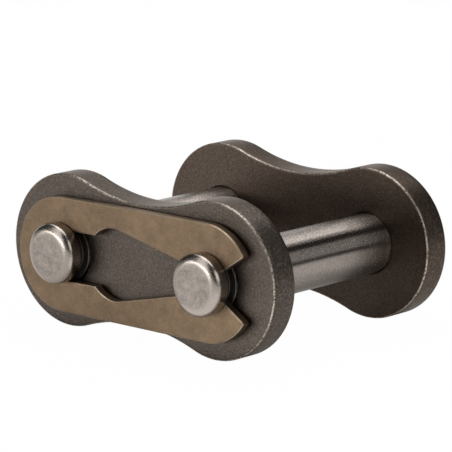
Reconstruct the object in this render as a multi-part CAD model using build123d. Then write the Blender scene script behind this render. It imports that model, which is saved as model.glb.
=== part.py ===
from build123d import *
import os
from math import acos, asin, atan2, cos, degrees, pi, radians, sin, sqrt, tan

# Connecting link of a roller chain: two pins riveted into an outer plate, a cover plate that
# slips over their free ends, and a flat spring clip that snaps into the grooves of the pins.
#
# Frame: X runs along the chain, from the pin at the clip's closed end to the pin at its open
# end. Y runs along the pins, from the cover plate (-Y) to the outer plate (+Y). Z is up.
# The origin lies midway between the two pin axes and midway between the two plates.

# ---- driving dimensions, millimetres ----
pitch = 19.05               # distance between the two pin axes
plate_gap = 19.2            # room between the plates, taken by the links on either side

plate_thick = 2.9
lobe_radius = 7.48          # round end of a plate, about its pin
waist_height = 11.7         # height of a plate half way between the pins
plate_edge_round = 0.2      # tumbled edge of a plate
hole_break = 0.15           # broken edge of a plate's holes

journal_radius = 2.97       # part of a pin that the bush turns on
press_extra = 0.015         # the end in the outer plate is this much larger in radius
slip_relief = 0.02          # the end in the cover plate is this much smaller in radius
slip_clearance = 0.07       # cover plate's hole over the slip end, in radius

shoulder_proud = 0.15       # full pin that stands out of the cover plate, up to the groove
groove_radius = 2.2
groove_break = 0.06         # broken edges of the groove
head_length = 1.22          # straight side of the head beyond the groove
head_dome = 0.34            # height of the sloping ring round the end face
ring_width = 0.63           # the sloping ring in radius, from the flat end face to the rim
ring_share_face = 0.52      # share of the ring that its rounding to the end face takes
ring_share_rim = 0.46       # share of the ring that its rounding to the rim takes

rivet_radius = 3.3          # spread end of a pin behind the outer plate
rivet_length = 0.45         # straight part of that end
rivet_slope = 0.4           # height of its sloping rim
rivet_face_radius = 2.6

clip_thick = 0.9
clip_height = 11.3          # across both legs
clip_play = 0.15            # groove wider than the clip, along the pin
closed_seat_clearance = 0.25    # closed seat and neck over the groove, in radius
open_seat_clearance = 0.1       # open seat over the groove, in radius
hanging_gap = 0.02          # left over the groove where the closed end hangs on it
clip_travel = 7.2           # from the closed seat to the window that lets the head through
window_clearance = 0.53     # window over the head, in radius
taper_half = 0.88           # half height of the leg taper, produced to the open-end pin
mouth_angle = 33.0          # from the X axis to the cut end of each leg, degrees
leg_corner_round = 0.25
seat_corner_round = 0.3
neck_corner_round = 0.4
grip_corner_round = 0.12    # where the leg taper meets the open seat
clip_edge_round = 0.12

same_size = 1e-6            # two radii closer than this are one and the same

# ---- places that follow from them ----
half_pitch = pitch / 2
inner_face = plate_gap / 2                      # inner face of either plate
outer_face = inner_face + plate_thick           # outer face of either plate
groove_start = outer_face + shoulder_proud
groove_end = groove_start + clip_thick + clip_play
head_rim = groove_end + head_length
head_face = head_rim + head_dome

slip_radius = journal_radius - slip_relief
press_radius = journal_radius + press_extra
cover_hole_radius = slip_radius + slip_clearance

face_radius = slip_radius - ring_width
ring_slope = atan2(head_dome, ring_width)
ring_length = sqrt(head_dome**2 + ring_width**2)
face_corner_round = ring_share_face * ring_length / tan(ring_slope / 2)
head_rim_round = ring_share_rim * ring_length / tan(pi / 4 - ring_slope / 2)

clip_radius = clip_height / 2
closed_seat_radius = groove_radius + closed_seat_clearance
open_seat_radius = groove_radius + open_seat_clearance
window_radius = slip_radius + window_clearance
window_x = clip_travel - half_pitch
clip_lean = asin((closed_seat_clearance - hanging_gap) / pitch)     # closed end down

os.makedirs("parts", exist_ok=True)


def plate_outline():
    """Figure of eight: a round lobe about each pin, joined by two arcs that curve in to the
    waist. A waist arc touches both lobes, so its radius follows from the waist's height."""
    waist = waist_height / 2
    arc_radius = (half_pitch**2 + waist**2 - lobe_radius**2) / (2 * (lobe_radius - waist))
    arc_centre = waist + arc_radius
    share = lobe_radius / (lobe_radius + arc_radius)
    touch_x, touch_z = half_pitch * (1 - share), arc_centre * share
    end_x = half_pitch + lobe_radius
    return make_face([
        ThreePointArc((touch_x, -touch_z), (end_x, 0), (touch_x, touch_z)),
        ThreePointArc((touch_x, touch_z), (0, waist), (-touch_x, touch_z)),
        ThreePointArc((-touch_x, touch_z), (-end_x, 0), (-touch_x, -touch_z)),
        ThreePointArc((-touch_x, -touch_z), (0, -waist), (touch_x, -touch_z)),
    ])


def make_plate(hole_radius, front):
    """Plate with its front, the side that faces -Y, at y = -front."""
    back_plane = Plane.XZ.offset(front - plate_thick)
    plate = extrude(back_plane * plate_outline(), plate_thick)
    rims = [face.outer_wire().edges() for face in plate.faces().filter_by(Axis.Y)]
    plate = fillet(rims[0] + rims[1], plate_edge_round)
    for x in (-half_pitch, half_pitch):
        plate -= extrude(back_plane * Pos(x, 0) * Circle(hole_radius), plate_thick)
    hole_rims = plate.edges().filter_by(
        lambda edge: edge.geom_type == GeomType.CIRCLE and abs(edge.radius - hole_radius) < same_size
    )
    return chamfer(hole_rims, hole_break)


def nearest(points, x, y):
    """The one of some sketch points that lies nearest to (x, y)."""
    return points.sort_by_distance((x, y, 0))[0]


def make_pin(x):
    """Pin turned about its own axis and moved to x. The profile holds radius and y: the journal
    first, on to the riveted end behind the outer plate, then back along the axis to the head."""
    profile = make_face(Polyline([
        (journal_radius, -inner_face),
        (journal_radius, inner_face),
        (press_radius, inner_face),
        (press_radius, outer_face),
        (rivet_radius, outer_face),
        (rivet_radius, outer_face + rivet_length),
        (rivet_face_radius, outer_face + rivet_length + rivet_slope),
        (0, outer_face + rivet_length + rivet_slope),
        (0, -head_face),
        (face_radius, -head_face),
        (slip_radius, -head_rim),
        (slip_radius, -groove_end - groove_break),
        (slip_radius - groove_break, -groove_end),
        (groove_radius, -groove_end),
        (groove_radius, -groove_start),
        (slip_radius - groove_break, -groove_start),
        (slip_radius, -groove_start + groove_break),
        (slip_radius, -inner_face),
    ], close=True))
    profile = fillet(nearest(profile.vertices(), face_radius, -head_face), face_corner_round)
    profile = fillet(nearest(profile.vertices(), slip_radius, -head_rim), head_rim_round)
    return Pos(x, 0, 0) * revolve(profile, Axis.Y)


def clip_outline():
    """Flat clip: a slot-shaped outline with a keyhole inside. The closed seat runs through a
    parallel neck into the window, and from there the legs close in on the open seat, whose
    mouth is cut between the leg ends."""
    # Leg taper: the line that touches the window and passes taper_half above the open pin.
    run = half_pitch - window_x
    slope = asin(window_radius / sqrt(run**2 + taper_half**2)) - atan2(taper_half, run)
    touch_x = window_x + window_radius * sin(slope)
    touch_z = window_radius * cos(slope)
    mouth = radians(mouth_angle)
    reach = 2 * clip_radius

    outline = SlotCenterToCenter(pitch, clip_height)
    outline -= Pos(-half_pitch, 0) * Circle(closed_seat_radius)
    outline -= Pos((window_x - half_pitch) / 2, 0) * Rectangle(clip_travel, 2 * closed_seat_radius)
    outline -= Pos(window_x, 0) * Circle(window_radius)
    outline -= make_face(Polyline([
        (touch_x, touch_z), (half_pitch, taper_half), (half_pitch, -taper_half), (touch_x, -touch_z),
    ], close=True))
    outline -= make_face(Polyline([
        (window_x, 0), (touch_x, touch_z), (touch_x, -touch_z),
    ], close=True))
    outline -= Pos(half_pitch, 0) * Circle(open_seat_radius)
    outline -= make_face(Polyline([
        (half_pitch, 0),
        (half_pitch + reach, reach * tan(mouth)),
        (half_pitch + reach, -reach * tan(mouth)),
    ], close=True))

    neck_x = window_x - sqrt(window_radius**2 - closed_seat_radius**2)
    # The taper meets the open seat at this angle before the top of the seat.
    grip = acos(taper_half * cos(slope) / open_seat_radius) - slope
    for side in (-1, 1):
        for x, z, size in (
            (half_pitch + clip_radius * cos(mouth), clip_radius * sin(mouth), leg_corner_round),
            (half_pitch + open_seat_radius * cos(mouth), open_seat_radius * sin(mouth),
             seat_corner_round),
            (half_pitch - open_seat_radius * sin(grip), open_seat_radius * cos(grip),
             grip_corner_round),
            (neck_x, closed_seat_radius, neck_corner_round),
        ):
            outline = fillet(nearest(outline.vertices(), x, side * z), size)
    return outline


def make_clip():
    """Clip with its back just in front of the shoulders of the pins. Its legs grip the open pin
    and its closed end hangs on the other, so it leans a little about the open pin."""
    back_plane = Plane.XZ.offset(groove_start + clip_play / 2)
    leaning = Pos(half_pitch, 0) * Rot(0, 0, degrees(clip_lean)) * Pos(-half_pitch, 0)
    clip = extrude(back_plane * leaning * clip_outline(), clip_thick)
    rims = [face.edges() for face in clip.faces().filter_by(Axis.Y)]
    return fillet(rims[0] + rims[1], clip_edge_round)


nodes = {
    "outer_plate": make_plate(press_radius, -inner_face),
    "cover_plate": make_plate(cover_hole_radius, outer_face),
    "pin_closed_end": make_pin(-half_pitch),
    "pin_open_end": make_pin(half_pitch),
    "spring_clip": make_clip(),
}
for name, shape in nodes.items():
    shape.label = name
    export_step(shape, f"parts/{name}.step")
    box = shape.bounding_box()
    print(name, "volume %.1f mm3" % shape.volume, "from", box.min, "to", box.max)
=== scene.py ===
# %% [markdown]
# # Connecting link of a roller chain
#
# A roller chain is closed into a loop by one link that can be taken apart. Two pins stand
# riveted in an outer plate. They pass through the bushes of the neighbouring links, a cover
# plate slips over their free ends, and a flat spring clip snaps into a groove in each pin.
#
# The rigid model already holds every piece at its right place and size. This lesson gives the
# pieces their finished surfaces: smooth, evenly gridded skins with the small rounded edges of
# tumbled steel, and a worked-out finish for each kind of steel on the link.

# %% Load the rigid model
import math

import bmesh
import bpy
import numpy as np
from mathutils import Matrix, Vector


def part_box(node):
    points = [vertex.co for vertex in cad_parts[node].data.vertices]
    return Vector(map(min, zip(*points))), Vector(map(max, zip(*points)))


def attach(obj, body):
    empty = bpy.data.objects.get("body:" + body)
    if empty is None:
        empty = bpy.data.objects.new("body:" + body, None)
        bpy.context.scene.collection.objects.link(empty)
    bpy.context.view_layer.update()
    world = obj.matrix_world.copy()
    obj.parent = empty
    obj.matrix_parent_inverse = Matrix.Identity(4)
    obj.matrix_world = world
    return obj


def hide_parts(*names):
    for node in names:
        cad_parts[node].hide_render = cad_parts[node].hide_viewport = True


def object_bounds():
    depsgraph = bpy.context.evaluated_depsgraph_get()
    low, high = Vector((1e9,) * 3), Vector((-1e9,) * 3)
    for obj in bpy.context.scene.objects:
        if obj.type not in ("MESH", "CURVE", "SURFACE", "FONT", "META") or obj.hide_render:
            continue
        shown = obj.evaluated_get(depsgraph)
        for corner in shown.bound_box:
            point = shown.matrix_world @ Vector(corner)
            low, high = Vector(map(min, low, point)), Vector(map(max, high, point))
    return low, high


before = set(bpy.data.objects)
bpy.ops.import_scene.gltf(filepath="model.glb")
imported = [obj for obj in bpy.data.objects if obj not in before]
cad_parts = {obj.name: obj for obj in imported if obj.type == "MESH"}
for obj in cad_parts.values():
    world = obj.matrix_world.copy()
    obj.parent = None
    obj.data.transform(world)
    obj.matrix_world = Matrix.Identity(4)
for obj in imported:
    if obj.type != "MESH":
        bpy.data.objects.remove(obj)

cad_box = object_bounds()
mm = 0.001                       # the scene is in metres, most sizes below are in millimetres
print("whole link in mm:", [round((b - a) / mm, 2) for a, b in zip(*cad_box)])

# %% [markdown]
# ## The camera
#
# A long lens a good way off keeps the round plates from bulging. The camera could be placed by
# hand, but three angles and a distance from a point near the middle of the link say the same
# with nothing to guess. The azimuth turns the camera round the link from straight in front of
# the cover plate, towards the clip's open end.

# %% Place the camera
scene = bpy.context.scene
azimuth, elevation, roll = np.radians([42.537, 12.200, 0.136])
distance = 0.25993
look_at = np.array([0.001205, -0.001730, 0.002266])

forward = np.array([
    -math.sin(azimuth) * math.cos(elevation),
    math.cos(azimuth) * math.cos(elevation),
    -math.sin(elevation),
])
level = np.array([math.cos(azimuth), math.sin(azimuth), 0.0])
upright = np.cross(level, forward)
right = math.cos(roll) * level + math.sin(roll) * upright
up = math.cos(roll) * upright - math.sin(roll) * level

camera = bpy.data.objects.new("camera", bpy.data.cameras.new("camera"))
scene.collection.objects.link(camera)
camera.data.sensor_width = 36.0
camera.data.lens = 214.70
place = np.eye(4)
place[:3, 0], place[:3, 1], place[:3, 2] = right, up, -forward
place[:3, 3] = look_at - distance * forward
camera.matrix_world = place.T.tolist()
scene.camera = camera
print("camera stands at, in mm:", np.round(place[:3, 3] / mm, 1))

# %% [markdown]
# ## A shader helper
#
# Finishes are built from nodes. One small function adds a node, sets its menus and fills its
# sockets, either with a number or with another node's output, so that the cells below read as
# short recipes.

# %% Shader helper
def add_node(tree, kind, sockets=None, **settings):
    """New node of a kind in a tree. A socket given another socket is linked to it, and one
    given a number, colour or vector is set to it."""
    node = tree.nodes.new(kind)
    for name, value in settings.items():
        setattr(node, name, value)
    for name, value in (sockets or {}).items():
        if isinstance(value, bpy.types.NodeSocket):
            tree.links.new(value, node.inputs[name])
        else:
            node.inputs[name].default_value = value
    return node


def calculate(tree, operation, *values):
    """Output of a Math node: an operation on one to three numbers or sockets."""
    node = add_node(tree, "ShaderNodeMath", dict(enumerate(values)), operation=operation)
    return node.outputs[0]


def new_material(name):
    """Empty node material with its Output node: (material, tree, output)."""
    material = bpy.data.materials.new(name)
    material.use_nodes = True
    material.node_tree.nodes.clear()
    return material, material.node_tree, add_node(material.node_tree, "ShaderNodeOutputMaterial")

# %% [markdown]
# ## Grids
#
# Every surface in this lesson is a grid of points with two parameters, one along it and one
# across it. Points could be placed one by one in a loop, but numpy works out a whole grid as one
# array, which is quick and reads like the formula. The faces are the cells of the grid.

# %% Grid helpers
def numbered(points):
    """Numbers of a grid's points, in the grid's own rows and columns."""
    return np.arange(points[..., 0].size).reshape(points.shape[:-1])


def cells(grid):
    """Faces of a grid of point numbers: each cell's four corners, taken round it one way."""
    corners = grid[:-1, :-1], grid[1:, :-1], grid[1:, 1:], grid[:-1, 1:]
    return np.stack(corners, -1).reshape(-1, 4)


def ring_closed(grid):
    """The same grid with its first column repeated at the end, which closes it into rings."""
    return np.hstack([grid, grid[:, :1]])


def stage_mesh(name, points, faces, material):
    """Mesh object that belongs to the studio and not to the link."""
    mesh = bpy.data.meshes.new(name)
    mesh.from_pydata(points.reshape(-1, 3).tolist(), [], faces.tolist())
    mesh.materials.append(material)
    obj = bpy.data.objects.new(name, mesh)
    scene.collection.objects.link(obj)
    return obj

# %% [markdown]
# ## Floor and studio
#
# The link stands on a white sheet. The sheet is an ordinary matt white for the light that
# falls on the link, so it bounces light up under the plates. To the camera it is plain white,
# with just enough of the lit sheet left in it for a soft shadow under the link. A mirror-like
# piece of steel sees less of the plain white and more of the lit sheet with its shadow. Far
# out, the sheet turns up, so that a level view has white behind it too.

# %% Floor
floor_height = cad_box[0].z
floor_radius, rim_radius, rim_height, around_floor = 1.75, 0.15, 0.22, 96

paper, tree, output = new_material("white_paper")
sheet_light = add_node(tree, "ShaderNodeBsdfDiffuse", {"Color": (0.90, 0.90, 0.89, 1.0)})
plain_white = add_node(tree, "ShaderNodeEmission", {"Strength": 1.0})
ray = add_node(tree, "ShaderNodeLightPath").outputs
mirrored = calculate(tree, "MAXIMUM", ray["Is Glossy Ray"], ray["Is Transmission Ray"])
white_seen, white_mirrored = 0.985, 0.12
white_share = calculate(tree, "MAXIMUM",
                        calculate(tree, "MULTIPLY", ray["Is Camera Ray"], white_seen),
                        calculate(tree, "MULTIPLY", mirrored, white_mirrored))
mix = add_node(tree, "ShaderNodeMixShader", {
    0: white_share, 1: sheet_light.outputs[0], 2: plain_white.outputs[0],
})
tree.links.new(mix.outputs[0], output.inputs["Surface"])

# profile of the sheet, radius and height: flat, a quarter turn, then straight up
turn = np.linspace(0, math.pi / 2, 9)
sweep = np.concatenate([
    [[0.0, 0.0]],
    np.stack([floor_radius + rim_radius * np.sin(turn), rim_radius * (1 - np.cos(turn))], -1),
    [[floor_radius + rim_radius, rim_height]],
])
angle = np.linspace(0, 2 * math.pi, around_floor, endpoint=False)
sheet = np.stack([
    sweep[:, :1] * np.cos(angle), sweep[:, :1] * np.sin(angle),
    floor_height + sweep[:, 1:] + 0 * angle,
], -1)
stage_mesh("floor", sheet, cells(ring_closed(numbered(sheet))), paper)
print("floor at, in mm:", round(floor_height / mm, 2))

# %% [markdown]
# Polished steel shows the room around it, so the room is half of its look. One lamp would give
# a single hard glint. Seven softboxes with dark gaps between them give the light and dark bands
# that make a pin look round. A tall one at the front left lights the clip's side, and a low
# bright one beneath it lights the faces under the clip. One hangs straight above and one a
# little behind, for the upper rims. On the right, a small box inside a wide weak one shades the
# round ends softly, and one at the back left keeps the rims there from going black.

# %% Softboxes
def facing_centre(obj, direction, away):
    """Puts an object at a distance along a direction from the link, with its -Z side looking
    back at the link and its X side level."""
    back = np.array(direction, float) / np.linalg.norm(direction)
    side = np.cross([0.0, 0.0, 1.0], back)
    side /= np.linalg.norm(side)
    matrix = np.eye(4)
    matrix[:3, 0], matrix[:3, 1], matrix[:3, 2] = side, np.cross(back, side), back
    matrix[:3, 3] = back * away
    obj.matrix_world = matrix.T.tolist()


def softbox(name, direction, away, width, height, brightness):
    """Rectangular lamp. A lamp of this brightness looks that many times as bright as plain
    white, so its power is the brightness times its area times pi."""
    lamp = bpy.data.lights.new(name, "AREA")
    lamp.shape = "RECTANGLE"
    lamp.size, lamp.size_y = width, height
    lamp.energy = brightness * width * height * math.pi
    obj = bpy.data.objects.new(name, lamp)
    scene.collection.objects.link(obj)
    facing_centre(obj, direction, away)
    return obj


softbox("front_left_box", (-0.28, -0.70, 0.66), 1.2, 0.60, 2.06, 1.35)
softbox("low_front_box", (-0.51, -0.85, 0.07), 0.9, 0.58, 0.13, 5.60)
softbox("overhead_back_box", (-0.27, 0.38, 0.88), 1.1, 1.10, 0.99, 1.25)
softbox("zenith_box", (-0.04, 0.20, 0.98), 1.2, 1.01, 1.08, 1.50)
softbox("right_fill", (0.88, 0.08, 0.47), 1.2, 2.38, 0.91, 0.36)
softbox("right_box", (0.86, 0.03, 0.52), 1.2, 0.96, 0.67, 1.05)
softbox("back_left_box", (-0.83, 0.52, 0.22), 1.3, 1.14, 0.62, 0.95)

# %% [markdown]
# Two cards finish the studio. A dark one stands low behind the link's right side, and the pins
# mirror it as the lower of their two dark lines. A small white one lies on the sheet just in
# front, where the link's own shadow would otherwise dull the lower part of the cover plate.
# Both meet mirrored rays only, so neither is seen itself or throws a shadow.

# %% Dark card and white card
def plain_material(name, kind, sockets):
    """Material made of a single shader."""
    material, tree, output = new_material(name)
    tree.links.new(add_node(tree, kind, sockets).outputs[0], output.inputs["Surface"])
    return material


card_radius, card_low, card_high = 500 * mm, 22 * mm, 95 * mm
angle, z = np.meshgrid(np.radians(np.linspace(15, 80, 24)), (card_low, card_high), indexing="ij")
dark = np.stack([card_radius * np.cos(angle), card_radius * np.sin(angle), z], -1)
dark_card = stage_mesh("dark_card", dark, cells(numbered(dark)), plain_material(
    "black_felt", "ShaderNodeBsdfDiffuse", {"Color": (0.01, 0.01, 0.01, 1.0)}))

x, y = np.meshgrid((-2 * mm, 30 * mm), (-38 * mm, -16 * mm), indexing="ij")
white = np.stack([x, y, floor_height + 0.05 * mm + 0 * x], -1)
bounce_card = stage_mesh("bounce_card", white, cells(numbered(white)), plain_material(
    "bounce_white", "ShaderNodeEmission", {"Strength": 1.1}))

for card in (dark_card, bounce_card):
    card.visible_camera = card.visible_shadow = card.visible_diffuse = False
    print(card.name, "faces", len(card.data.polygons))

# %% [markdown]
# The air itself glows very faintly and a little warm, as light comes back from a room's walls,
# so that the darkest reflection isn't quite black. The Standard view shows the colours as they
# are worked out, and keeps a white sheet white.

# %% The air around
world = bpy.data.worlds.new("studio_air")
scene.world = world
world.use_nodes = True
background = world.node_tree.nodes["Background"].inputs
background["Color"].default_value = (1.0, 0.98, 0.96, 1.0)
background["Strength"].default_value = 0.02
scene.view_settings.view_transform = "Standard"

# %% [markdown]
# ## Skins on grids
#
# Every piece of the link is either an outline given a thickness or a profile turned round an
# axis. Both suit a grid: one parameter says how far along the outline, the other how far across
# the section. A piece made of several grids has them share their border points, which are then
# merged, so the skin comes out closed.

# %% Skin and outline helpers
def build_skin(name, points, faces, edge=None, sharp=35.0):
    """Closed mesh object from points in mm and faces of four point numbers. Points that lie on
    each other are merged, faces that lose their area go, and shading breaks only at corners
    sharper than an angle. The edge values, a distance in mm from the nearest worn edge at each
    point, are kept on the mesh for the finishes to read."""
    mesh = bpy.data.meshes.new(name)
    mesh.vertices.add(len(points))
    mesh.vertices.foreach_set("co", (points * mm).astype(np.float32).ravel())
    mesh.loops.add(faces.size)
    mesh.loops.foreach_set("vertex_index", faces.astype(np.int32).ravel())
    mesh.polygons.add(len(faces))
    mesh.polygons.foreach_set("loop_start", np.arange(0, faces.size, 4, dtype=np.int32))
    mesh.update(calc_edges=True)
    if edge is not None:
        worn = mesh.attributes.new("edge_mm", "FLOAT", "POINT")
        worn.data.foreach_set("value", edge.astype(np.float32))
    tidy = bmesh.new()
    tidy.from_mesh(mesh)
    bmesh.ops.remove_doubles(tidy, verts=tidy.verts, dist=0.0005 * mm)
    bmesh.ops.dissolve_degenerate(tidy, edges=tidy.edges, dist=0.0001 * mm)
    bmesh.ops.recalc_face_normals(tidy, faces=tidy.faces)
    open_edges = sum(not e.is_manifold for e in tidy.edges)
    volume = tidy.calc_volume(signed=True) / mm**3
    tidy.to_mesh(mesh)
    tidy.free()
    mesh.shade_smooth()
    mesh.set_sharp_from_angle(angle=math.radians(sharp))
    obj = bpy.data.objects.new(name, mesh)
    scene.collection.objects.link(obj)
    print(name, "faces", len(mesh.polygons), "open edges", open_edges, "volume %.1f mm3" % volume)
    return obj


def span(start, end, count, closed=False):
    """Evenly spaced numbers from start to end, without the end itself unless closed."""
    return np.linspace(start, end, count, endpoint=closed)


def arc(centre, radius, start, end, count, hollow=False, closed=False):
    """Part of a circle in the plane of X and Z: centre + radius (cos a, sin a), with the angle a
    in degrees running evenly from start to end. Returns the points and the directions that
    point out of the steel: away from the centre, or towards it on a hollow side."""
    angle = np.radians(span(start, end, count, closed))
    ray = np.stack([np.cos(angle), np.sin(angle)], -1)
    return np.array(centre) + radius * ray, -ray if hollow else ray


def chained(*runs):
    """Several runs of points and outward directions, one after another."""
    return tuple(np.concatenate(parts) for parts in zip(*runs))


def at_depth(plane_points, y):
    """Points of the X-Z plane set at a depth y, which may differ from point to point."""
    return np.stack([plane_points[..., 0], np.broadcast_to(y, plane_points.shape[:-1]),
                     plane_points[..., 1]], -1)

# %% [markdown]
# ## The two plates
#
# Each plate is stamped from strip steel: a round lobe about each pin, drawn in to a waist
# between them, then tumbled until its sharp edges turn slightly round. It could be cut from a
# slab with boolean tools, but those leave ragged long triangles that shade badly. Here half a
# plate is made of two grids. A strip follows the outline from one face round the rim to the
# other. Inside it, rings go from the strip to the pin hole, through it and out again on the
# rear face. The other half is its mirror image, merged along the middle.

# %% Sizes of the plates, some read from the rigid model
def box_mm(node):
    low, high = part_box(node)
    return np.array(low) / mm, np.array(high) / mm


plate_low, plate_high = box_mm("cover_plate")
pin_low, pin_high = box_mm("pin_open_end")
half_pitch = (pin_low[0] + pin_high[0]) / 2
lobe = 7.48
waist = 5.85                     # half the plate's height at the middle
edge_round = 0.2
hole_break = 0.15

arc_radius = (half_pitch**2 + waist**2 - lobe**2) / (2 * (lobe - waist))
lean = math.degrees(math.asin(half_pitch / (lobe + arc_radius)))
print("half pitch %.3f, lobe %.3f, waist arc %.2f mm" % (half_pitch, lobe, arc_radius))

# %% Outline of half a plate
waist_steps, lobe_steps, middle_steps = 26, 132, 16


def half_outline():
    """Outline of the half plate at +X, from the middle of its lower edge round the lobe to the
    middle of its upper edge. The waist arcs touch the lobe, so one angle serves them all."""
    below = arc((0, -waist - arc_radius), arc_radius, 90, 90 - lean, waist_steps, hollow=True)
    round_end = arc((half_pitch, 0), lobe, -90 - lean, 90 + lean, lobe_steps)
    above = arc((0, waist + arc_radius), arc_radius, lean - 90, -90, waist_steps,
                hollow=True, closed=True)
    return chained(below, round_end, above)


outline, outward = half_outline()
border_width = 1.2               # width of the strip that follows the outline
middle = np.stack([np.zeros(middle_steps), span(1, -1, middle_steps + 2, True)[1:-1]], -1)
inner_loop = np.concatenate([outline - border_width * outward, middle * (waist - border_width)])

to_loop = inner_loop - (half_pitch, 0)
toward = to_loop / np.linalg.norm(to_loop, axis=1, keepdims=True)


def hole_loop(radius):
    """Loop round the pin hole, with a point on the line from the pin's axis to each point of
    the inner loop."""
    return np.array([half_pitch, 0]) + radius * toward


print("points in a ring:", len(toward))

# %% Skin of a plate
def rounded_section(thickness, radius, steps=5):
    """Section of a rim with both edges rounded: pairs of distance inside the outline and depth
    from the front, quarter circle, straight side, quarter circle."""
    turn = np.radians(np.linspace(0, 90, steps))
    inset = radius * (1 - np.sin(turn))
    depth = radius * (1 - np.cos(turn))
    side = np.linspace(radius, thickness - radius, 6)[1:-1]
    return (np.concatenate([inset, 0 * side, inset[::-1]]),
            np.concatenate([depth, side, thickness - depth[::-1]]))


def edge_distance(points, rims, furthest=2.0, chunk=2000):
    """How far each point lies from the nearest of some edges, given as dense rows of points. It
    is never put higher than furthest, and worked out for a chunk of points at a time."""
    near = np.full(len(points), furthest)
    for start in range(0, len(points), chunk):
        gap = points[start:start + chunk, None, :] - rims[None, :, :]
        near[start:start + chunk] = np.minimum(furthest, np.sqrt((gap**2).sum(-1).min(1)))
    return near


def build_plate(name, node):
    """Plate skin. A strip carries the section along the outline: across the front, round the
    rounded rim and back across the rear. Closed rings lead from the strip's inner border to the
    pin hole, through it and out to the rear. The mirrored half changes the sign of x."""
    low, high = box_mm(node)
    front, back = low[1], high[1]
    rim_inset, rim_depth = rounded_section(back - front, edge_round)
    faces_in = np.array([border_width, 0.7, 0.42, 0.28])
    inset = np.concatenate([faces_in, rim_inset, faces_in[::-1]])
    depth = np.concatenate([0 * faces_in, rim_depth, back - front + 0 * faces_in])
    strip = at_depth(outline - inset[:, None, None] * outward, (front + depth)[:, None])

    hole_rim, wall = (hole_loop(hole_sizes[node] + extra) for extra in (hole_break, 0))
    steps = np.array([0, 0.25, 0.5, 0.72, 0.88, 0.96, 1])[:, None, None]
    face = inner_loop + steps * (hole_rim - inner_loop)
    wall_depths = np.linspace(front + hole_break, back - hole_break, 5)
    rings = np.concatenate([
        at_depth(face, front),
        np.stack([at_depth(wall, y) for y in wall_depths]),
        at_depth(face[::-1], back),
    ])

    half = np.concatenate([rings.reshape(-1, 3), strip.reshape(-1, 3)])
    half_faces = np.concatenate([cells(ring_closed(numbered(rings))),
                                 cells(numbered(strip)) + rings[..., 0].size])
    points = np.concatenate([half, half * (-1, 1, 1)])
    faces = np.concatenate([half_faces, half_faces[:, ::-1] + len(half)])

    corner = edge_round * (1 - math.sqrt(0.5))
    worn_line = outline - corner * outward
    # only the front edges are listed, the side where the lamps glint, so the bright line there is
    # worn oxide and a painted highlight at once
    rims = at_depth(worn_line, front + corner)
    rims = np.concatenate([rims, rims * (-1, 1, 1)])
    return build_skin(name, points, faces, edge_distance(points, rims))


hole_sizes = {"cover_plate": 3.02, "outer_plate": 2.985}
cover_plate = build_plate("cover_plate_skin", "cover_plate")
outer_plate = build_plate("outer_plate_skin", "outer_plate")

# %% [markdown]
# ## The pins
#
# A pin is turned and ground on its own axis, so one profile says everything about it: the
# spread, riveted end behind the outer plate, the ground journal, the shoulder and groove that
# hold the clip, and the head with its sloping ring and softly rounded face. The profile is a
# row of corners, each with its own small radius. Spinning it needs no more than a circle of
# angles, and the two ends close at the axis.

# %% Turned profile with rounded corners
def rounded_profile(corners, steps=7):
    """Row of points through some corners, each given as (radius from axis, y, rounding). A
    rounded corner becomes an arc that touches both sides: it starts and ends r / tan(t / 2)
    from the corner, where t is the angle between the sides, and its centre lies on their
    bisector."""
    rows = np.array(corners, float)
    row = [rows[0, :2]]
    for before, here, after in zip(rows[:-2], rows[1:-1], rows[2:]):
        if here[2] == 0:
            row.append(here[:2])
            continue
        a, b = before[:2] - here[:2], after[:2] - here[:2]
        a, b = a / np.linalg.norm(a), b / np.linalg.norm(b)
        between = math.acos(np.clip(a @ b, -1, 1))
        reach = here[2] / math.tan(between / 2)
        centre = here[:2] + (a + b) / np.linalg.norm(a + b) * here[2] / math.sin(between / 2)
        start, end = here[:2] + reach * a - centre, here[:2] + reach * b - centre
        turn = math.acos(np.clip(start @ end / here[2]**2, -1, 1))
        share = np.linspace(0, 1, steps)[:, None]
        row.extend(centre + (np.sin((1 - share) * turn) * start + np.sin(share * turn) * end)
                   / math.sin(turn))
    row.append(rows[-1, :2])
    return np.array(row)


plate_inner = -plate_high[1]      # the cover plate's inner face, at -Y, mirrored
outer_face = -plate_low[1]
head_end, tail_end = -pin_low[1], pin_high[1]
journal, slip, press, groove = 2.97, 2.95, 2.985, 2.2        # radii
shoulder, groove_width, crown = 0.15, 1.05, 0.34             # lengths along the pin
head_flat, flat_round, rim_round = 2.32, 1.474, 0.552
spread, spread_side, spread_flat = 3.3, 0.45, 2.6            # riveted end
groove_start = outer_face + shoulder
groove_end = groove_start + groove_width
head_rim = head_end - crown

pin_corners = [
    (0, -head_end, 0),
    (head_flat, -head_end, flat_round),
    (slip, -head_rim, rim_round),
    (slip, -groove_end, 0.06),
    (groove, -groove_end, 0.1),
    (groove, -groove_start, 0.1),
    (slip, -groove_start, 0.06),
    (slip, -plate_inner - 0.05, 0),
    (journal, -plate_inner, 0),
    (journal, plate_inner, 0),
    (press, plate_inner + 0.05, 0),
    (press, outer_face, 0),
    (spread, outer_face + 0.001, 0.05),
    (spread, outer_face + spread_side, 0.12),
    (spread_flat, tail_end, 0.2),
    (0, tail_end, 0),
]
profile = rounded_profile(pin_corners)
print("profile points:", len(profile), "length %.2f mm" % (profile[-1, 1] - profile[0, 1]))

# %% Skin of a pin
around = 144
longest_face = 0.8               # along the pin, in mm


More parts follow.
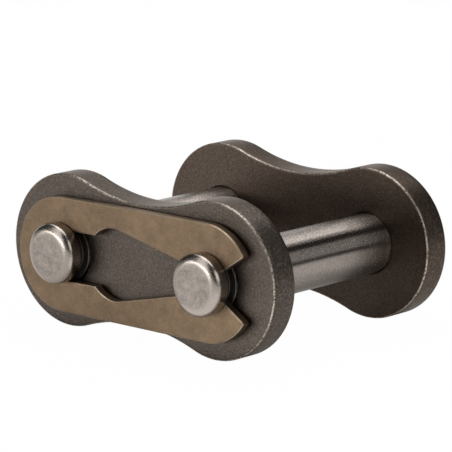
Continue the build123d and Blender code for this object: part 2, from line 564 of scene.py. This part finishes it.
def build_pin(name, axis_x):
    """Pin skin: every profile point (r, y) goes round a circle, x = axis + r cos a and
    z = r sin a. Long straight runs are divided so that no face is much longer than wide."""
    dense = [profile[:1]]
    for a, b in zip(profile[:-1], profile[1:]):
        count = max(1, math.ceil(np.linalg.norm(b - a) / longest_face))
        dense.append(a + (b - a) * (np.arange(1, count + 1) / count)[:, None])
    row = np.concatenate(dense)
    angle = span(0, 2 * math.pi, around)
    radius, y = row[:, :1], row[:, 1:]
    points = np.stack([
        axis_x + radius * np.cos(angle), y + 0 * angle, radius * np.sin(angle),
    ], -1)
    return build_skin(name, points.reshape(-1, 3), cells(ring_closed(numbered(points))))


open_pin = build_pin("open_pin_skin", half_pitch)
closed_pin = build_pin("closed_pin_skin", -half_pitch)

# %% [markdown]
# ## The spring clip
#
# The clip is blanked from thin spring strip. Its keyhole has a window that passes over a pin's
# head, a parallel neck, and a seat at each end, and the legs are cut apart at the open end. A
# boolean cut would give the shape but no even border for the rounded edge. Instead the upper
# half is a ribbon between two rows of points: the outer border and the inner one, row by row
# opposite each other. The same border then carries a rounded section, as on the plates.

# %% Borders of the clip's upper half
clip_low, clip_high = box_mm("spring_clip")
clip_half, closed_seat, open_seat, window = 5.65, 2.45, 2.3, 3.48
clip_travel, closed_end_drop = 7.2, 0.23
window_x = clip_travel - half_pitch
taper_half, mouth = 0.88, 33.0
clip_lean = math.asin(closed_end_drop / (2 * half_pitch))     # about the open pin
leg_round, seat_round, neck_round, grip_round = 0.25, 0.3, 0.4, 0.12
end_steps, mouth_steps = 30, 8   # points on the arcs that both borders start and end with


def direction(angle):
    """Unit direction in the X-Z plane at an angle in degrees from X."""
    return np.array([math.cos(math.radians(angle)), math.sin(math.radians(angle))])


def clip_rows():
    """Outer and inner border of the clip's upper half, point for point. Every corner's small
    arc touches its two neighbours, which fixes its centre: for two circles about one centre at
    the sum or difference of the radii, for a circle and a line by Pythagoras."""
    open_axis = np.array([half_pitch, 0])
    # the leg's cut: a ray at the mouth's angle, met by both corner rounds
    leg_turn = math.degrees(math.asin(leg_round / (clip_half - leg_round)))
    leg_centre = open_axis + (clip_half - leg_round) * direction(mouth + leg_turn)
    seat_turn = math.degrees(math.asin(seat_round / (open_seat + seat_round)))
    seat_centre = open_axis + (open_seat + seat_round) * direction(mouth + seat_turn)
    # the neck's round touches the window and the neck's straight side
    neck_x = window_x - math.sqrt((window + neck_round)**2 - (closed_seat + neck_round)**2)
    neck_centre = np.array([neck_x, closed_seat + neck_round])
    neck_turn = math.degrees(math.atan2(neck_centre[1], neck_x - window_x))
    # the leg's taper touches the window and passes taper_half above the open pin's axis
    run = half_pitch - window_x
    slope = math.degrees(math.asin(window / math.hypot(run, taper_half))
                         - math.atan2(taper_half, run))
    taper = direction(-slope)
    taper_up = direction(90 - slope)
    offset = taper_up @ (np.array([window_x, 0]) + window * taper_up - open_axis) + grip_round
    along = -math.sqrt((open_seat + grip_round)**2 - offset**2)
    grip_centre = open_axis + offset * taper_up + along * taper
    grip_turn = math.degrees(math.atan2(*(grip_centre - open_axis)[::-1]))

    inner = chained(
        arc((-half_pitch, 0), closed_seat, 180, 90, end_steps, hollow=True),
        (np.stack([span(-half_pitch, neck_x, 12), np.full(12, closed_seat)], -1),
         np.tile([0., -1.], (12, 1))),
        arc(neck_centre, neck_round, -90, neck_turn - 180, 7),
        arc((window_x, 0), window, neck_turn, 90 - slope, 36, hollow=True),
        (np.linspace(window_x * np.array([1, 0]) + window * taper_up,
                     grip_centre - grip_round * taper_up, 24, endpoint=False),
         np.tile(-taper_up, (24, 1))),
        arc(grip_centre, grip_round, -90 - slope, grip_turn - 180, 7),
        arc(open_axis, open_seat, grip_turn, mouth + seat_turn, 40, hollow=True),
        arc(seat_centre, seat_round, mouth + seat_turn + 180, mouth - 90 + 360, mouth_steps,
            closed=True),
    )
    # the outer border keeps opposite: arc to arc, then straight up, then arc to arc again
    opposite = inner[0][end_steps:-mouth_steps]
    axis_gap = opposite - open_axis
    angle = np.degrees(np.arctan2(axis_gap[:, 1], axis_gap[:, 0]))
    share = np.clip((90 - angle) / (90 - mouth - seat_turn), 0, 1)
    angle = np.radians(90 - share * (90 - mouth - leg_turn))
    ray = np.stack([np.cos(angle), np.sin(angle)], -1)
    x = np.minimum(opposite[:, 0], half_pitch)
    top = np.where(share[:, None] > 0, open_axis + clip_half * ray,
                   np.stack([x, np.full(len(x), clip_half)], -1))
    outer = chained(
        arc((-half_pitch, 0), clip_half, 180, 90, end_steps),
        (top, ray),
        arc(leg_centre, leg_round, mouth + leg_turn, mouth - 90, mouth_steps, closed=True),
    )
    return outer, inner


outer_row, inner_row = clip_rows()
print("border points:", len(outer_row[0]), len(inner_row[0]))

# %% Skin of the clip
clip_edge = 0.12


def build_clip(name):
    """Clip skin. The flat faces are ribbons between the two borders, set in by the edge round;
    in each row the points lie at fixed distances from either border. The border's own grid
    carries the rounded section along the outer row, the leg's cut and the inner row."""
    front, back = clip_low[1], clip_high[1]
    outer, inner = (row - clip_edge * out for row, out in (outer_row, inner_row))
    width = np.linalg.norm(inner - outer, axis=1)[:, None]
    near = np.array([0, 0.06, 0.16, 0.4])
    shares = np.concatenate([near / width, 0.5 + 0 * width, 1 - near[::-1] / width], 1)
    ribbon = outer[:, None, :] + shares[..., None] * (inner - outer)[:, None, :]
    sheets = [at_depth(ribbon, y) for y in (front, back)]

    cut = ribbon[-1, 1:-1] + clip_edge * direction(mouth - 90)
    border = np.concatenate([outer_row[0], cut, inner_row[0][::-1]])
    out = np.concatenate([outer_row[1], np.tile(direction(mouth - 90), (len(cut), 1)),
                          inner_row[1][::-1]])
    inset, depth = rounded_section(back - front, clip_edge, 4)
    band = at_depth(border - inset[:, None, None] * out, (front + depth)[:, None])

    points, faces, first = [], [], 0
    for part in sheets + [band]:
        points.append(part.reshape(-1, 3))
        faces.append(cells(numbered(part)) + first)
        first += len(points[-1])
    upper, upper_faces = np.concatenate(points), np.concatenate(faces)
    points = np.concatenate([upper, upper * (1, 1, -1)])
    faces = np.concatenate([upper_faces, upper_faces[:, ::-1] + len(upper)])

    corner = clip_edge * (1 - math.sqrt(0.5))
    worn_line = border - corner * out
    rims = np.concatenate([at_depth(worn_line, y) for y in (front + corner, back - corner)])
    rims = np.concatenate([rims, rims * (1, 1, -1)])
    distance = edge_distance(points, rims)

    # the lean turns every point about the open pin's axis
    x, y, z = (points - (half_pitch, 0, 0)).T
    cosine, sine = math.cos(clip_lean), math.sin(clip_lean)
    turned = np.stack([half_pitch + cosine * x - sine * z, y, sine * x + cosine * z], -1)
    return build_skin(name, turned, faces, distance)


spring_clip = build_clip("spring_clip_skin")

# %% [markdown]
# ## Hanging the skins
#
# Each skin takes the place of its solid and rides on the same body, so it moves with the part's
# own joints. It could be trusted to fit, but the box of each skin is set against the box of its
# solid, which shows a wrong size or a wrong turn at once.

# %% Hang every skin on its solid
for skin, node, body, slot in (
    (cover_plate, "cover_plate", "cover_plate", "plate_steel"),
    (outer_plate, "outer_plate", "outer_link", "plate_steel"),
    (open_pin, "pin_open_end", "outer_link", "pin_steel"),
    (closed_pin, "pin_closed_end", "outer_link", "pin_steel"),
    (spring_clip, "spring_clip", "spring_clip", "clip_steel"),
):
    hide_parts(node)
    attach(skin, body)
    low, high = box_mm(node)
    mine = np.array([v.co for v in skin.data.vertices]) / mm
    print(skin.name, "differs from its solid's box by",
          np.round([np.abs(mine.min(0) - low).max(), np.abs(mine.max(0) - high).max()], 4), "mm")

# %% [markdown]
# ## Effects shared by the finishes
#
# All three steels carry a fine grain, and the stamped pieces have edges worn bright; on the
# plates the bright line also stands in as a painted highlight. Both effects are node groups
# with named inputs, so that each finish sets its own amounts. The grain is a noise in the
# piece's own space. The worn edge takes the distance to the nearest edge, which the skins carry,
# and breaks it up with a noise, because tumbling never wears an edge evenly.

# %% Grain and worn edge
def new_group(name, inputs, outputs):
    """Empty node group with named number, colour or vector sockets: (tree, input, output)."""
    tree = bpy.data.node_groups.new(name, "ShaderNodeTree")
    for in_out, sockets in (("INPUT", inputs), ("OUTPUT", outputs)):
        for socket, kind, value in sockets:
            made = tree.interface.new_socket(socket, in_out=in_out, socket_type=kind)
            if value is not None:
                made.default_value = value
    return tree, tree.nodes.new("NodeGroupInput"), tree.nodes.new("NodeGroupOutput")


def grain_group():
    """Speckle is a fine noise that two octaves sharpen, Cloud a slow one, both about 0.5."""
    tree, given, made = new_group(
        "steel_grain",
        [("Vector", "NodeSocketVector", None), ("Grain per mm", "NodeSocketFloat", 6.0),
         ("Cloud per mm", "NodeSocketFloat", 0.25)],
        [("Speckle", "NodeSocketFloat", None), ("Cloud", "NodeSocketFloat", None)],
    )
    for scale, detail, name in (("Grain per mm", 3.0, "Speckle"), ("Cloud per mm", 4.0, "Cloud")):
        per_metre = calculate(tree, "MULTIPLY", given.outputs[scale], 1 / mm)
        noise = add_node(tree, "ShaderNodeTexNoise", {
            "Vector": given.outputs["Vector"], "Scale": per_metre, "Detail": detail,
            "Roughness": 0.6,
        })
        tree.links.new(noise.outputs[0], made.inputs[name])
    return tree


def worn_edge_group():
    """Mask is one on an edge and falls to nothing a width away, thinned here and there by a
    noise. Wear moves the noise's threshold: the higher it is, the fewer breaks."""
    tree, given, made = new_group(
        "worn_edge",
        [("Distance", "NodeSocketFloat", 1.0), ("Width", "NodeSocketFloat", 0.1),
         ("Breaks per mm", "NodeSocketFloat", 3.0), ("Wear", "NodeSocketFloat", 0.7),
         ("Vector", "NodeSocketVector", None)],
        [("Mask", "NodeSocketFloat", None)],
    )
    fall = add_node(tree, "ShaderNodeMapRange", {
        "Value": given.outputs["Distance"], "From Min": 0.0, "From Max": given.outputs["Width"],
        "To Min": 1.0, "To Max": 0.0,
    }, interpolation_type="SMOOTHSTEP")
    per_metre = calculate(tree, "MULTIPLY", given.outputs["Breaks per mm"], 1 / mm)
    noise = add_node(tree, "ShaderNodeTexNoise", {
        "Vector": given.outputs["Vector"], "Scale": per_metre, "Detail": 3.0, "Roughness": 0.65,
    })
    low = calculate(tree, "SUBTRACT", 0.95, given.outputs["Wear"])
    worn = add_node(tree, "ShaderNodeMapRange", {
        "Value": noise.outputs[0], "From Min": low, "From Max": calculate(tree, "ADD", low, 0.25),
    }, interpolation_type="SMOOTHSTEP")
    tree.links.new(calculate(tree, "MULTIPLY", fall.outputs[0], worn.outputs[0]),
                   made.inputs["Mask"])
    return tree


grain, worn_edge = grain_group(), worn_edge_group()


def place_group(tree, group, sockets):
    """Group node in a tree with its sockets set; returns its outputs."""
    return add_node(tree, "ShaderNodeGroup", sockets, node_tree=group).outputs


def blend(tree, share, first, second):
    """Colour between two colours, by a share from 0 to 1."""
    node = add_node(tree, "ShaderNodeMix", data_type="RGBA")
    for name, value in (("Factor", share), ("A", first), ("B", second)):
        socket = [s for s in node.inputs if s.name == name and s.enabled][0]
        if isinstance(value, bpy.types.NodeSocket):
            tree.links.new(value, socket)
        else:
            socket.default_value = value
    return [s for s in node.outputs if s.enabled][0]


print("groups:", [g.name for g in bpy.data.node_groups])

# %% [markdown]
# ## Plate steel
#
# After hardening, the plates carry a thin brown-grey oxide with a matt, faintly speckled skin.
# It is metal that scatters its reflections widely, so it darkens where one plate hides the
# other from the light. The punch shears the rims, which leaves them coarser than the faces: a
# second, larger grain lightens and pits them, wherever the surface faces away from Y. Tumbling
# rubs the oxide off the outer edges in a thin broken line. It is laid along each plate's front
# edges only, where the lamps glint on the rounded edge, so it is also a painted highlight. The
# outer plate's colours are darker and browner: painted shade for the plate behind the cover
# plate, and in part a browner tone of its own.

# %% Plate steel
def plate_finish(name, tint_and_shade):
    """Oxide finish of a plate. Its colours are multiplied by a colour of its own, which on the
    outer plate is darker and browner: painted shade, and in part a browner tone.
    """
    def oxide(*colour):
        return (*(np.array(colour) * tint_and_shade), 1.0)

    material, tree, output = new_material(name)
    spot = add_node(tree, "ShaderNodeTexCoord").outputs
    place = spot["Object"]
    fine = place_group(tree, grain, {"Vector": place, "Grain per mm": 5.5, "Cloud per mm": 0.3})
    # the sheared rim, where the surface faces away from Y, is coarser
    facing = add_node(tree, "ShaderNodeSeparateXYZ", {0: spot["Normal"]}).outputs["Y"]
    sheared = calculate(tree, "LESS_THAN", calculate(tree, "ABSOLUTE", facing), 0.6)
    coarse = place_group(tree, grain, {"Vector": place, "Grain per mm": 3.4, "Cloud per mm": 1.0})
    torn = calculate(tree, "SUBTRACT", coarse["Speckle"], 0.5)
    torn = calculate(tree, "MULTIPLY", torn, sheared)
    scuff = add_node(tree, "ShaderNodeMapRange", {
        "Value": torn, "From Min": 0.03, "From Max": 0.20, "To Min": 0.0, "To Max": 0.34,
    }).outputs[0]
    pit = add_node(tree, "ShaderNodeMapRange", {
        "Value": torn, "From Min": -0.03, "From Max": -0.20, "To Min": 0.0, "To Max": 0.60,
    }).outputs[0]
    distance = add_node(tree, "ShaderNodeAttribute", attribute_name="edge_mm").outputs["Fac"]
    # on a plate this bright line lies along the front edges only: rubbed-off oxide and a painted
    # highlight together
    bright = place_group(tree, worn_edge, {
        "Distance": distance, "Width": 0.14, "Breaks per mm": 5.0, "Wear": 0.60, "Vector": place,
    })["Mask"]
    clouded = blend(tree, fine["Cloud"], oxide(0.086, 0.070, 0.060), oxide(0.118, 0.096, 0.082))
    light_speck = add_node(tree, "ShaderNodeMapRange", {
        "Value": fine["Speckle"], "From Min": 0.50, "From Max": 0.72, "To Min": 0.0, "To Max": 0.62,
    }).outputs[0]
    dark_speck = add_node(tree, "ShaderNodeMapRange", {
        "Value": fine["Speckle"], "From Min": 0.48, "From Max": 0.28, "To Min": 0.0, "To Max": 0.7,
    }).outputs[0]
    speckled = blend(tree, light_speck, clouded, oxide(0.20, 0.166, 0.143))
    speckled = blend(tree, dark_speck, speckled, oxide(0.048, 0.039, 0.033))
    speckled = blend(tree, scuff, speckled, oxide(0.34, 0.29, 0.25))
    speckled = blend(tree, pit, speckled, oxide(0.045, 0.036, 0.031))
    colour = blend(tree, bright, speckled, (0.78, 0.68, 0.58, 1))
    rough = calculate(tree, "MULTIPLY_ADD", fine["Speckle"], 0.12, 0.34)
    rough = calculate(tree, "MULTIPLY_ADD", bright, -0.10, rough)
    height = calculate(tree, "MULTIPLY_ADD", torn, 1.0, fine["Speckle"])
    bump = add_node(tree, "ShaderNodeBump", {
        "Strength": 0.7, "Distance": 0.03 * mm, "Height": height,
    })
    steel = add_node(tree, "ShaderNodeBsdfPrincipled", {
        "Base Color": colour, "Metallic": 1.0, "Roughness": rough, "Normal": bump.outputs[0],
        "Specular Tint": (0.97, 0.92, 0.88, 1.0),
    })
    tree.links.new(steel.outputs[0], output.inputs["Surface"])
    return material


cover_plate.data.materials.append(plate_finish("cover_plate_finish", (1.0, 1.0, 1.0)))
# the outer plate's darker, browner colours are painted shade for the plate behind the cover plate,
# and in part a browner tone of its own
outer_plate.data.materials.append(plate_finish("outer_plate_shaded_finish", (0.84, 0.77, 0.72)))

# %% [markdown]
# ## Pin steel
#
# The pins are case hardened. Their journals are ground, and then tumbled to a satin with a fine
# mottle. The ground lines run round a journal, so its shine stays crisp round it and smears
# along the axis, which an anisotropic shader does once its tangent points along the axis. The
# pressed ends have no such lines: a smooth rounded ring, and a flat face left matt and mottled
# by the forming tool. So a pin gets two materials, and its faces say which one they take.

# %% Mottled steel
def mottled(tree, place, per_mm, cloudy, low, high, strength, depth_mm):
    """Colour between two colours and a bumped normal, both from one grain: (colour, speckle,
    normal). The colour follows the speckle and, by the share cloudy, a slower noise."""
    fine = place_group(tree, grain, {"Vector": place, "Grain per mm": per_mm, "Cloud per mm": 1.1})
    value = calculate(tree, "ADD", calculate(tree, "MULTIPLY", fine["Speckle"], 1 - cloudy),
                      calculate(tree, "MULTIPLY", fine["Cloud"], cloudy))
    share = add_node(tree, "ShaderNodeMapRange", {
        "Value": value, "From Min": 0.34, "From Max": 0.66,
    }).outputs[0]
    bump = add_node(tree, "ShaderNodeBump", {
        "Strength": strength, "Distance": depth_mm * mm, "Height": fine["Speckle"],
    })
    return blend(tree, share, low, high), fine["Speckle"], bump.outputs[0]


# %% Ground journal
def ground_finish():
    """Journal: a close mottle, and a shine that the tangent along Y draws out that way."""
    material, tree, output = new_material("ground_pin_finish")
    place = add_node(tree, "ShaderNodeTexCoord").outputs["Object"]
    colour, speckle, normal = mottled(tree, place, 6.5, 0.1, (0.286, 0.250, 0.225, 1),
                                      (0.477, 0.422, 0.381, 1), 0.10, 0.015)
    along = add_node(tree, "ShaderNodeCombineXYZ", {"X": 0.0, "Y": 1.0, "Z": 0.0})
    steel = add_node(tree, "ShaderNodeBsdfPrincipled", {
        "Base Color": colour, "Metallic": 1.0,
        "Roughness": calculate(tree, "MULTIPLY_ADD", speckle, 0.08, 0.22),
        "Anisotropic": 0.90, "Tangent": along.outputs[0], "Normal": normal,
    })
    tree.links.new(steel.outputs[0], output.inputs["Surface"])
    return material


# %% Pressed ends
def pressed_finish():
    """Ends of a pin. The distance from the nearer pin's axis, the root of the squared x and z
    from it, and the depth y tell the matt faces, the smooth ring and the turned groove apart.
    The groove and its shoulder get a dark colour: painted shade in the groove under the head,
    and a dimmed highlight on the shoulder."""
    material, tree, output = new_material("pressed_pin_finish")
    place = add_node(tree, "ShaderNodeTexCoord").outputs["Object"]
    across = add_node(tree, "ShaderNodeSeparateXYZ", {0: place}).outputs
    from_middle = calculate(tree, "ABSOLUTE", across["X"])
    from_axis = calculate(tree, "SUBTRACT", from_middle, half_pitch * mm)
    squares = calculate(tree, "ADD", calculate(tree, "MULTIPLY", from_axis, from_axis),
                        calculate(tree, "MULTIPLY", across["Z"], across["Z"]))
    radius = calculate(tree, "SQRT", squares)

    # the end face, the spread end behind the outer plate, and the groove with its shoulder, as
    # shares of one
    in_front = calculate(tree, "LESS_THAN", across["Y"], -(head_end - 0.2) * mm)
    face = add_node(tree, "ShaderNodeMapRange", {
        "Value": radius, "From Min": 1.9 * mm, "From Max": 2.4 * mm, "To Min": 1.0, "To Max": 0.0,
    }, interpolation_type="SMOOTHSTEP").outputs[0]
    spread_end = calculate(tree, "GREATER_THAN", across["Y"], (outer_face + 0.001) * mm)
    matt = calculate(tree, "MULTIPLY_ADD", face, in_front, spread_end)
    # the groove and its shoulder, which get painted shade below
    turned = calculate(tree, "LESS_THAN", radius, (slip - 0.03) * mm)
    turned = calculate(tree, "MULTIPLY", turned,
                       calculate(tree, "GREATER_THAN", across["Y"], -(groove_end + 0.05) * mm))
    shoulder_shade = calculate(tree, "GREATER_THAN", across["Y"], -(groove_start + 0.03) * mm)
    turned = calculate(tree, "MAXIMUM", turned, calculate(tree, "MULTIPLY", shoulder_shade, 0.75))
    turned = calculate(tree, "MULTIPLY", turned,
                       calculate(tree, "LESS_THAN", across["Y"], 0.0))

    pressed, speckle, normal = mottled(tree, place, 5.0, 0.5, (0.215, 0.186, 0.164, 1),
                                       (0.415, 0.368, 0.330, 1), 0.30, 0.02)
    colour = blend(tree, matt, (0.425, 0.374, 0.332, 1), pressed)
    # painted shade: the groove under the head, and the shoulder at three quarters, take a dark
    # colour, which also dims the shoulder's highlight
    colour = blend(tree, turned, colour, (0.10, 0.086, 0.075, 1))
    rough = calculate(tree, "MULTIPLY_ADD", speckle, 0.10, 0.21)
    rough = calculate(tree, "MULTIPLY_ADD", matt, 0.16, rough)
    rough = calculate(tree, "MULTIPLY_ADD", turned, 0.25, rough)
    steel = add_node(tree, "ShaderNodeBsdfPrincipled", {
        "Base Color": colour, "Metallic": 1.0, "Roughness": rough, "Normal": normal,
    })
    tree.links.new(steel.outputs[0], output.inputs["Surface"])
    return material


# %% Two finishes on each pin
pin_steels = ground_finish(), pressed_finish()
for pin in (open_pin, closed_pin):
    for steel in pin_steels:
        pin.data.materials.append(steel)
    middles = np.array([face.center for face in pin.data.polygons]) / mm
    on_end = (middles[:, 1] < -outer_face) | (middles[:, 1] > outer_face)
    pin.data.polygons.foreach_set("material_index", on_end.astype(np.int32))
    print(pin.name, "faces on the journal", (~on_end).sum(), "on the ends", on_end.sum())

# %% [markdown]
# ## Clip steel
#
# Spring strip is tempered after blanking, which leaves a bronze tint that drifts from place to
# place. Tumbling gives it a soft mottle, and its edges are a shade lighter than its faces.

# %% Clip steel
def clip_finish():
    """Temper tint in slow clouds, darker patches, light specks and lighter edges."""
    material, tree, output = new_material("clip_steel_finish")
    place = add_node(tree, "ShaderNodeTexCoord").outputs["Object"]
    fine = place_group(tree, grain, {"Vector": place, "Grain per mm": 6.0, "Cloud per mm": 0.22})
    distance = add_node(tree, "ShaderNodeAttribute", attribute_name="edge_mm").outputs["Fac"]
    bright = place_group(tree, worn_edge, {
        "Distance": distance, "Width": 0.09, "Breaks per mm": 3.0, "Wear": 0.72, "Vector": place,
    })["Mask"]
    patches = add_node(tree, "ShaderNodeTexNoise", {
        "Vector": place, "Scale": 0.7 / mm, "Detail": 6.0, "Roughness": 0.68,
    }).outputs[0]
    patch = add_node(tree, "ShaderNodeMapRange", {
        "Value": patches, "From Min": 0.36, "From Max": 0.66,
    }).outputs[0]
    speck = add_node(tree, "ShaderNodeMapRange", {
        "Value": fine["Speckle"], "From Min": 0.50, "From Max": 0.75, "To Min": 0.0, "To Max": 0.5,
    }).outputs[0]
    tempered = blend(tree, fine["Cloud"], (0.212, 0.148, 0.086, 1), (0.256, 0.177, 0.120, 1))
    darker = blend(tree, patch, (0.160, 0.114, 0.072, 1), tempered)
    tinted = blend(tree, speck, darker, (0.32, 0.238, 0.165, 1))
    colour = blend(tree, bright, tinted, (0.62, 0.52, 0.40, 1))
    rough = calculate(tree, "MULTIPLY_ADD", patches, 0.14, 0.37)
    rough = calculate(tree, "MULTIPLY_ADD", bright, -0.12, rough)
    height = calculate(tree, "MULTIPLY_ADD", patches, 0.8, fine["Speckle"])
    bump = add_node(tree, "ShaderNodeBump", {
        "Strength": 0.35, "Distance": 0.02 * mm, "Height": height,
    })
    steel = add_node(tree, "ShaderNodeBsdfPrincipled", {
        "Base Color": colour, "Metallic": 1.0, "Roughness": rough, "Normal": bump.outputs[0],
    })
    tree.links.new(steel.outputs[0], output.inputs["Surface"])
    return material


spring_clip.data.materials.append(clip_finish())
